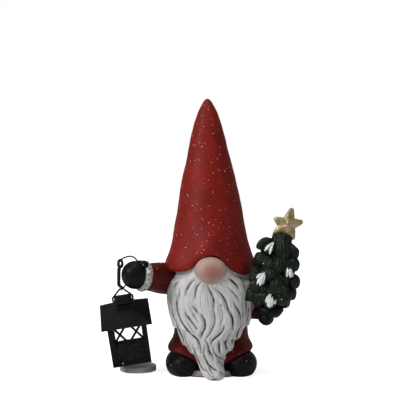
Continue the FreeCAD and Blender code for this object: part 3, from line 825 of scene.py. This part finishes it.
def make_tube(name, centres, radii, material, replaced, rough, seed):
    way = np.gradient(centres, axis=0)
    rings = []
    turn = np.linspace(0, 2 * math.pi, 72, endpoint=False)
    for centre, radius, d in zip(centres, radii, way):
        side, up = frame_of(d / np.linalg.norm(d))
        rings.append(centre + radius * (np.outer(np.cos(turn), side) + np.outer(np.sin(turn), up)))
    points = np.array(rings).reshape(-1, 3)
    points = points + (lumps(points, 15.0, seed) * rough)[:, None]
    return add_mesh(name, points, grid_faces(len(rings), 72, True), material, "figure",
                    replaced)


sleeve_line = spline([SHOULDER + (6, 23, -0.6), SHOULDER + (-6, 15, 0.2), SHOULDER + (-17, 5, 2.0),
                      SHOULDER + (-27, -8, 4.0), SHOULDER + ARM * 42.5], 41)
sleeve_line = np.vstack([sleeve_line] + [SHOULDER + ARM * far for far in (43.5, 44.5, 45.5)])
sleeve_size = np.interp(np.linspace(0, 1, 44), [0, 0.25, 0.5, 0.8, 1], [17.5, 17.2, 16.4, 14.8, 13.0])
make_tube("sleeve_lantern_arm", sleeve_line, sleeve_size, "coat", ["sleeve_right"],
          rough=0.8, seed=5.0)


def make_cuff():
    around, rows = 150, 36
    reach, fat = 11.5, 4.1
    start = SHOULDER + ARM * 43.0
    side, up = frame_of(ARM)
    points, pit_shades = [], []
    for i in range(rows):
        turn = 2 * math.pi * i / rows
        for j in range(around):
            swing = 2 * math.pi * j / around
            out = side * math.cos(swing) + up * math.sin(swing)
            centre = start + ARM * 4.2 + out * reach + np.array([0, 0, 0.5])
            p = centre + (out * math.cos(turn) + ARM * math.sin(turn)) * fat
            cell = noise.voronoi(Vector(p / 2.3))[0]
            depth = smoothstep(cell[1] - cell[0], 0.0, 0.34)
            tuft = 0.5 * depth + lump(*p, 1.6, 3.0) * 0.5
            p = p + (out * math.cos(turn) + ARM * math.sin(turn)) * tuft
            points.append(p)
            # marks the low borders between tufts for painted shade
            pit_shades.append(float(max(0.0, 0.85 - 1.6 * depth) * (lump(*p, 3.0, 9.0) > -0.12)))
    faces = []
    for i in range(rows):
        for j in range(around):
            a, b = i * around + j, i * around + (j + 1) % around
            c, d = ((i + 1) % rows) * around + (j + 1) % around, ((i + 1) % rows) * around + j
            faces.append((a, b, c, d))
    return add_mesh("cuff_fur_ring", points, faces, "fur", "figure", ["cuff_right"],
                    marks={"pit_shade": pit_shades})


make_cuff()


def make_mitten():
    ball, faces = rounded_ball(64, 96)
    points = HAND + np.array([1.1, 0, 0.6]) + ball * np.array([14.0, 14.1, 14.3])
    points += (lumps(points, 12.0, 2.0) * 0.4)[:, None] * ball
    thumb_tip = HAND + np.array([10.9, -3.0, 10.8])
    thumb_way = np.array([9.6, -0.6, -2.6])
    joined = list(points)
    joined_faces = list(faces)
    start = len(joined)
    count, around = 30, 36
    side, up = frame_of(thumb_way / np.linalg.norm(thumb_way))
    for t in np.linspace(0, 1, count):
        centre = thumb_tip - thumb_way * (1 - t) + up * 0.8 * math.sin(3 * t)
        radius = np.interp(t, [0, 0.12, 0.45, 0.7, 0.9, 1.0], [0.1, 2.3, 2.6, 3.2, 4.0, 4.1])
        for j in range(around):
            turn = 2 * math.pi * j / around
            joined.append(centre + radius * (side * math.cos(turn) + up * math.sin(turn)))
    joined_faces.extend(grid_faces(count, around, True, start))
    start = len(joined)
    knob, knob_faces = rounded_ball(24, 36)
    joined.extend(thumb_tip + knob * 4.15)
    joined_faces.extend([tuple(v + start for v in f) for f in knob_faces])
    return add_mesh("mitten_lantern_hand", joined, joined_faces, "black", "figure",
                    ["mitten_right"])


make_mitten()


# ---- left arm, tree and star ------------------------------------------------------------

def make_left_arm():
    mid = cad("mitten_left")[2]
    palm = np.array([mid.x, -34.0, 63.0])
    elbow = spline([palm + (-31, 23, 3), palm + (-20, 16, 1.5), palm + (-11, 7, 1.5),
                    palm + (-3, 1, 2.5)], 30)
    sizes = [np.interp(t, [0, 0.5, 1], [12.0, 8.6, 7.0]) for t in np.linspace(0, 1, 30)]
    # this sleeve uses the darker coat copy as painted shade
    make_tube("sleeve_tree_arm", elbow, sizes, "coat_painted_shade", ["sleeve_left"], rough=0.8,
              seed=7.0)
    ball, faces = rounded_ball()
    points = list(palm + np.array([0, 0, 4.2]) + ball * np.array([13.9, 13.4, 8.3]))
    joined = list(faces)
    joined.extend([tuple(v + len(points) for v in f) for f in faces])
    points.extend(palm + np.array([-4.2, -1.0, -3.6]) + ball * np.array([8.0, 9.5, 7.9]))
    points = np.array(points)
    points += (lumps(points, 9.0, 4.0) * 1.2)[:, None] * np.vstack([ball, ball])
    add_mesh("mitten_tree_hand", points, joined, "black", "figure", ["mitten_left"])


make_left_arm()

LEAN = math.radians(11.7)
FOOT = np.array(cad("mitten_left")[2]) * (1, 0, 0) + np.array([-0.1, -34.0, 72.0])
UP = np.array([math.sin(LEAN), 0.0, math.cos(LEAN)])
SIDEWAYS = np.array([math.cos(LEAN), 0.0, -math.sin(LEAN)])
DEEP = np.array([0.0, 1.0, 0.0])


def bough(root, tip, width, thick, seed, grooves=9):
    """One drooping tuft, blunt at its tip, with needle ridges along it."""
    rows, around = 34, 72
    root, tip = np.asarray(root, float), np.asarray(tip, float)
    way = tip - root
    length = np.linalg.norm(way)
    way /= length
    out = tip - (FOOT + UP * np.dot(tip - FOOT, UP))
    out /= max(np.linalg.norm(out), 1e-6)
    side = np.cross(way, out)
    side /= np.linalg.norm(side)
    top = np.cross(side, way)
    points, ridge = [], []
    for i in range(rows):
        t = i / (rows - 1)
        fat = 0.5 + 0.5 * smoothstep(t, 0.0, 0.55)
        fat *= max(0.0, 1 - (max(0.0, t - 0.5) / 0.5) ** 2.2) ** 0.62
        centre = root + way * length * t + top * (0.10 * length * math.sin(math.pi * t))
        for j in range(around):
            turn = 2 * math.pi * j / around
            groove = math.cos(turn * grooves + seed + 1.1 * math.sin(4 * t + seed))
            swell = 1 + 0.07 * groove + 0.13 * math.sin(3 * turn + seed) * t
            points.append(centre + (side * math.cos(turn) * width
                                    + top * math.sin(turn) * thick) * fat * swell)
            ridge.append(smoothstep(groove, -0.9, 0.2))
    return points, grid_faces(rows, around, True), ridge


FRONT_TUFTS = (
    ((-7, 65.5, -4), (-26.5, 55.5, -8), 4.6), ((-7, 63, -3), (-20, 50, -5), 6.5),
    ((-4, 72, -5), (3, 46, -11), 8.0), ((-14, 48, 5), (-24, 41, 10), 6.0),
    ((-15, 43, 4), (-25.5, 37, 5), 5.2), ((-8, 10, -3), (-15.5, -4.5, -5), 6.2),
    ((5, 66, -3), (15.5, 50, -6), 6.5), ((-8, 66, -6), (-14, 50, -11), 6.0),
    ((6, 53, -5), (19, 40, -8), 6.8), ((-1, 52, -8), (-2, 34, -15), 8.0),
    ((-7, 52, -7), (-14, 35, -13), 7.5), ((-10, 53, -5), (-24, 38, -8), 7.0),
    ((7, 46, -8), (11.5, 32, -15), 6.0), ((9.5, 36, -5), (23.5, 23.5, -8), 7.2),
    ((1.5, 33, -10), (2, 13, -18), 8.8), ((-12, 34, -7), (-15.5, 17, -15), 7.2),
    ((-12, 36, -4), (-26, 20, -7), 7.0), ((8, 22, -7), (17.0, 7.5, -11), 7.0),
    ((6, 20, -8), (8.5, 3, -15), 7.6), ((-2, 16, -9), (-1.5, -2, -17), 7.2),
    ((-7, 18, -8), (-9, 1, -15), 7.4), ((-11, 17, -6), (-17.5, 0, -11), 7.2),
    ((-13, 17, -4), (-25.5, 0.5, -8), 7.2), ((-6, 42, -9), (-9, 24, -15), 7.6),
    ((-14, 28, -6), (-21, 9, -11), 7.2),
)
SNOW_STROKES = (
    ((-11.0, 64, -13), (-18.0, 54, -17)), ((-10.6, 64, -13), (-12.4, 52, -18)),
    ((8.2, 44, -14), (8.6, 33, -21)), ((10.4, 44, -14), (12.2, 33, -21)),
    ((13.2, 40, -13), (14.0, 34, -18)),
    ((-14.0, 32, -15), (-21.0, 26, -19)), ((-13.6, 32, -15), (-19.0, 20, -21)),
    ((-13.0, 33, -15), (-16.0, 19, -22)), ((-12.4, 32, -15), (-13.4, 21, -21)),
    ((-13.2, 32, -15), (-17.5, 22, -22)),
    ((-3.8, 13, -17), (-7.2, 4, -22)), ((-3.2, 13, -17), (-4.6, 0.5, -23.5)),
    ((-2.8, 12, -17), (-2.6, -0.5, -24)), ((-2.4, 12, -17), (-0.4, 1.0, -23)),
    ((0.6, 10, -17), (2.6, 4, -21)),
)


def make_tree():
    points, faces, ridge, white = [], [], [], []

    def add(part, snow=0.0):
        start = len(points)
        points.extend(part[0])
        faces.extend([tuple(v + start for v in f) for f in part[1]])
        ridge.extend(part[2])
        white.extend([snow] * len(part[0]))

    def on_tree(across, up, deep):
        return FOOT + SIDEWAYS * across + DEEP * deep + UP * up

    core = spline([(0, 2), (20, 17), (43, 14), (60, 9), (74, 5)], 40)
    ring = []
    for up, r in core:
        for turn in np.linspace(0, 2 * math.pi, 48, endpoint=False):
            ring.append(on_tree(r * math.cos(turn), up, 0.75 * r * math.sin(turn)))
    # the core is marked low on the ridge mark, so it takes mostly the dark painted shade
    add((ring, grid_faces(40, 48, True), [0.2] * len(ring)))
    crown, crown_ridge = [], []
    for i in range(26):
        t = i / 25
        for j in range(72):
            turn = 2 * math.pi * j / 72
            groove = math.cos(13 * turn + 1.5 * t)
            r = (9.6 + 2.4 * t ** 1.2) * (1 + 0.06 * groove) * min(1.0, 0.55 + 6 * t)
            crown.append(on_tree(r * math.cos(turn) - 1.6, 75.5 - 25 * t,
                                 0.85 * r * math.sin(turn)))
            crown_ridge.append(smoothstep(groove, -0.9, 0.2))
    add((crown, grid_faces(26, 72, True), crown_ridge))
    tiers = ((67, 52, 4.0, 14.5, 8, 0.35), (54, 38, 6.0, 18.5, 9, 0.0),
             (40, 24, 8.0, 21.0, 10, 0.3), (27, 10, 8.0, 22.0, 11, 0.05),
             (15, 1, 7.0, 19.0, 10, 0.25))
    for high, low, inner, outer, count, shift in tiers:
        for k in range(count):
            turn = 2 * math.pi * (k + shift) / count + rng.uniform(-0.08, 0.08)
            c, d = math.cos(turn), math.sin(turn)
            size = rng.uniform(0.94, 1.06)
            root = on_tree(inner * c, high + rng.uniform(-1, 1), inner * 0.7 * d)
            tip = on_tree(outer * size * c, low + rng.uniform(-2, 2), outer * 0.74 * size * d)
            add(bough(root, tip, 6.8 * size, 5.2 * size, rng.uniform(0, 6)))
    for number, (root, tip, width) in enumerate(FRONT_TUFTS):
        add(bough(on_tree(*root), on_tree(*tip), width, 5.6, 1.7 * number, 15))
    for number, (root, tip) in enumerate(SNOW_STROKES):
        add(bough(on_tree(*root), on_tree(*tip), 1.75, 1.1, number, 4), 1.0)
    return add_mesh("tree_boughs", points, faces, "tree", "figure", ["tree"],
                    marks={"ridge": ridge, "snow": white})


make_tree()


# angle in degrees and reach of each corner, tips and hollows in turn
STAR_OUTLINE = ((73, 16.9), (37, 6.9), (10, 15.3), (-25, 6.7), (-66, 15.8), (-110, 7.6),
                (-143, 16.6), (-173, 7.6), (154, 13.4), (112, 5.8))
STAR_ROUNDING = 2.1
# share of the outline and depth, from the front face to the back one
STAR_RINGS = ((0.0, -5.4), (0.3, -4.3), (0.55, -3.5), (0.8, -2.7), (0.93, -2.2), (0.985, -1.4),
              (1.0, 0.0), (0.985, 1.4), (0.93, 2.2), (0.8, 2.7), (0.4, 4.0), (0.0, 5.2))


def make_star():
    centre = np.array(cad("star")[2]) + np.array([0.6, 0, -0.8])
    turns, reaches = np.radians([a for a, _ in STAR_OUTLINE]), np.array([r for _, r in STAR_OUTLINE])
    corners = np.stack([reaches * np.cos(turns), reaches * np.sin(turns)], 1)
    places = np.linspace(0, 1, 24, endpoint=False)[:, None]
    sides = np.concatenate([start + (end - start) * places
                            for start, end in zip(corners, np.roll(corners, -1, axis=0))])
    weights = np.exp(-np.linspace(-2.2, 2.2, 15) ** 2)
    weights /= weights.sum()
    around = len(sides)
    padded = np.concatenate([sides[-7:], sides, sides[:7]])
    rounded = np.stack([np.convolve(padded[:, k], weights, "valid") for k in (0, 1)], 1)
    along = np.roll(rounded, -1, axis=0) - np.roll(rounded, 1, axis=0)
    outward = np.stack([-along[:, 1], along[:, 0]], 1) / np.linalg.norm(along, axis=1)[:, None]
    rounded = rounded + outward * STAR_ROUNDING
    rings = []
    for share, depth in STAR_RINGS:
        flat = rounded * max(share, 0.002)
        rings.append(np.stack([flat[:, 0], np.full(around, depth), flat[:, 1]], 1))
    points = np.concatenate(rings)
    points += (lumps(points, 5.0, 3.0) * 0.45)[:, None] * np.array([0.6, 1, 0.6])
    return add_mesh("star_casting", points + centre, grid_faces(len(rings), around, True), "gold",
                    "figure", ["star"])


make_star()


# ---- hanger wires -----------------------------------------------------------------------

def wire(name, points, radius, body, replaced=()):
    data = bpy.data.curves.new(name, "CURVE")
    data.dimensions = "3D"
    data.bevel_depth = radius * MM
    data.bevel_resolution = 4
    data.resolution_u = 6
    line = data.splines.new("NURBS")
    line.points.add(len(points) - 1)
    for target, p in zip(line.points, points):
        target.co = (*(np.asarray(p) * MM), 1.0)
    line.order_u = 3
    line.use_endpoint_u = True
    data.materials.append(MATS["wire"])
    piece = bpy.data.objects.new(name, data)
    bpy.context.scene.collection.objects.link(piece)
    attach(piece, body)
    if replaced:
        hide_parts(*replaced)
    return piece


joint = {j["name"]: j for j in frame["joints"]}
PIVOT = np.array(joint["bail_swing"]["pos_m"]) / MM
EAR = np.array(joint["lantern_tilt"]["pos_m"]) / MM
LANTERN_UP = (PIVOT - EAR) / np.linalg.norm(PIVOT - EAR)
LANTERN_ACROSS = np.array(joint["lantern_tilt"]["axis"])
GRIP = np.array(joint["hanger_turn"]["pos_m"]) / MM
GRIP_WAY = np.array(joint["hanger_turn"]["axis"])


EYE_RADIUS = 1.9
EYE_WIRE, STRAND_WIRE, COIL_WIRE, ARCH_WIRE = 0.6, 1.0, 1.2, 0.78


def make_hanger():
    middle = PIVOT + LANTERN_UP * EYE_RADIUS
    deep = np.cross(LANTERN_UP, LANTERN_ACROSS)
    loop = [middle + EYE_RADIUS * (math.sin(a) * deep - math.cos(a) * LANTERN_UP)
            for a in np.linspace(-2.9, 2.9, 17)]
    wire("hanger_eye", loop, EYE_WIRE, "hanger", ["hanger"])
    crown = middle + LANTERN_UP * EYE_RADIUS
    path = spline([crown, crown + np.array([-2.2, 0.1, 2.6]), GRIP + np.array([-5.3, 0, 10.5]),
                   GRIP + np.array([-5.2, 0, 17.0]), GRIP + np.array([-4.6, 0, 22.0])], 90)
    for phase in (0.0, math.pi):
        strand = []
        for i, p in enumerate(path):
            turn = phase + i * 0.40
            strand.append(p + 1.0 * np.array([math.cos(turn), math.sin(turn), 0]))
        wire("hanger_strand_%d" % (phase > 1), strand, STRAND_WIRE, "hanger")
    knot = GRIP + np.array([-3.7, -2.0, 24.6])
    coil = []
    for i in range(70):
        turn = i * 2 * math.pi / 18.0 + 1.0
        reach = 2.5 + 0.4 * math.sin(i * 0.55)
        coil.append(knot + np.array([0, i * 0.055, 0])
                    + reach * np.array([0.8 * math.cos(turn), 0.3 * math.sin(turn + 1),
                                        1.35 * math.sin(turn)]))
    wire("hanger_coil", coil, COIL_WIRE, "hanger")
    arch = spline([knot + (-0.5, 1.6, 2.2), knot + (3.0, 1.8, 5.6), GRIP + (6.4, 0, 32.0),
                   GRIP + (10.6, 0, 30.4), GRIP + GRIP_WAY * 30.0, GRIP + GRIP_WAY * 24.0,
                   GRIP + GRIP_WAY * 12.0, GRIP + GRIP_WAY * 2.4, GRIP + GRIP_WAY * 1.0 + (-0.4, 0, 0),
                   crown + (1.2, 0, 0), crown], 90)
    wire("hanger_arch", arch, ARCH_WIRE, "hanger")


make_hanger()


# ---- edges of the carried CAD pieces -----------------------------------------------------

for node_name in CARRIED["metal"]:
    soft = NODES[node_name].modifiers.new("edge", "BEVEL")
    soft.width = 0.25 * MM
    soft.segments = 2
    soft.limit_method = "ANGLE"
    soft.angle_limit = math.radians(40)

thicker = NODES["bail"].modifiers.new("paint_build", "DISPLACE")
thicker.strength = 0.25 * MM
thicker.mid_level = 0.0


# ---- floor, light and camera ------------------------------------------------------------

def add_node(tree, kind, values=()):
    """New shader node with some of its inputs set."""
    made = tree.nodes.new(kind)
    for key, value in dict(values).items():
        made.inputs[key].default_value = value
    return made


def make_floor():
    """Pale floor that keeps the shadow near the figure and turns plain white further out."""
    reach = 3.0
    mesh = bpy.data.meshes.new("floor")
    mesh.from_pydata([(-reach, -reach, 0), (reach, -reach, 0), (reach, reach, 0),
                      (-reach, reach, 0)], [], [(0, 1, 2, 3)])
    floor = bpy.data.objects.new("floor", mesh)
    bpy.context.scene.collection.objects.link(floor)
    mat = bpy.data.materials.new("floor_pale")
    mat.use_nodes = True
    tree = mat.node_tree
    link = tree.links.new
    for item in list(tree.nodes):
        tree.nodes.remove(item)
    spot = add_node(tree, "ShaderNodeTexCoord")
    away = add_node(tree, "ShaderNodeVectorMath")
    away.operation = "LENGTH"
    far = add_node(tree, "ShaderNodeMapRange", {"From Min": 0.30, "From Max": 1.20,
                                                "To Min": 0.79, "To Max": 1.0})
    ray = add_node(tree, "ShaderNodeLightPath")
    strength = add_node(tree, "ShaderNodeMath")
    strength.operation = "MULTIPLY"
    diffuse = add_node(tree, "ShaderNodeBsdfDiffuse", {"Color": (0.86, 0.86, 0.86, 1)})
    glow = add_node(tree, "ShaderNodeEmission")
    add = add_node(tree, "ShaderNodeAddShader")
    out = add_node(tree, "ShaderNodeOutputMaterial")
    link(spot.outputs["Object"], away.inputs[0])
    link(away.outputs["Value"], far.inputs["Value"])
    link(ray.outputs["Is Camera Ray"], strength.inputs[0])
    link(far.outputs["Result"], strength.inputs[1])
    link(strength.outputs["Value"], glow.inputs["Strength"])
    link(diffuse.outputs["BSDF"], add.inputs[0])
    link(glow.outputs["Emission"], add.inputs[1])
    link(add.outputs["Shader"], out.inputs["Surface"])
    mesh.materials.append(mat)


make_floor()


def make_world():
    """White where the camera sees it, softer as a light."""
    world = bpy.data.worlds.new("studio")
    bpy.context.scene.world = world
    world.use_nodes = True
    tree = world.node_tree
    back = next(n for n in tree.nodes if n.type == "BACKGROUND")
    back.inputs["Color"].default_value = (1, 1, 1, 1)
    ray = add_node(tree, "ShaderNodeLightPath")
    seen = add_node(tree, "ShaderNodeMath")
    seen.operation = "MAXIMUM"
    level = add_node(tree, "ShaderNodeMapRange", {"To Min": 0.25, "To Max": 1.0})
    tree.links.new(ray.outputs["Is Camera Ray"], seen.inputs[0])
    tree.links.new(ray.outputs["Is Transmission Ray"], seen.inputs[1])
    tree.links.new(seen.outputs["Value"], level.inputs["Value"])
    tree.links.new(level.outputs["Result"], back.inputs["Strength"])


make_world()


def area_light(name, place, target, size, power):
    data = bpy.data.lights.new(name, "AREA")
    data.shape = "DISK"
    data.size = size
    data.energy = power
    lamp = bpy.data.objects.new(name, data)
    bpy.context.scene.collection.objects.link(lamp)
    lamp.location = place
    lamp.rotation_euler = (Vector(target) - Vector(place)).to_track_quat("-Z", "Y").to_euler()
    return lamp


middle = (0.0, -0.02, 0.15)
area_light("key", (-1.25, -0.82, 0.92), middle, 0.55, 15.0)
area_light("top", (-0.2, -0.25, 1.5), middle, 0.8, 7.5)
area_light("fill", (1.1, -0.9, 0.5), middle, 0.9, 0.9)

CAMERA_PLACE = (-0.0118, -0.85, 0.18)
CAMERA_LENS = 71.496
camera_data = bpy.data.cameras.new("camera")
camera_data.sensor_width = 36.0
camera_data.lens = CAMERA_LENS
camera = bpy.data.objects.new("camera", camera_data)
bpy.context.scene.collection.objects.link(camera)
camera.location = CAMERA_PLACE
camera.rotation_euler = (math.radians(90), 0, 0)
bpy.context.scene.camera = camera
bpy.context.scene.view_settings.view_transform = "Standard"
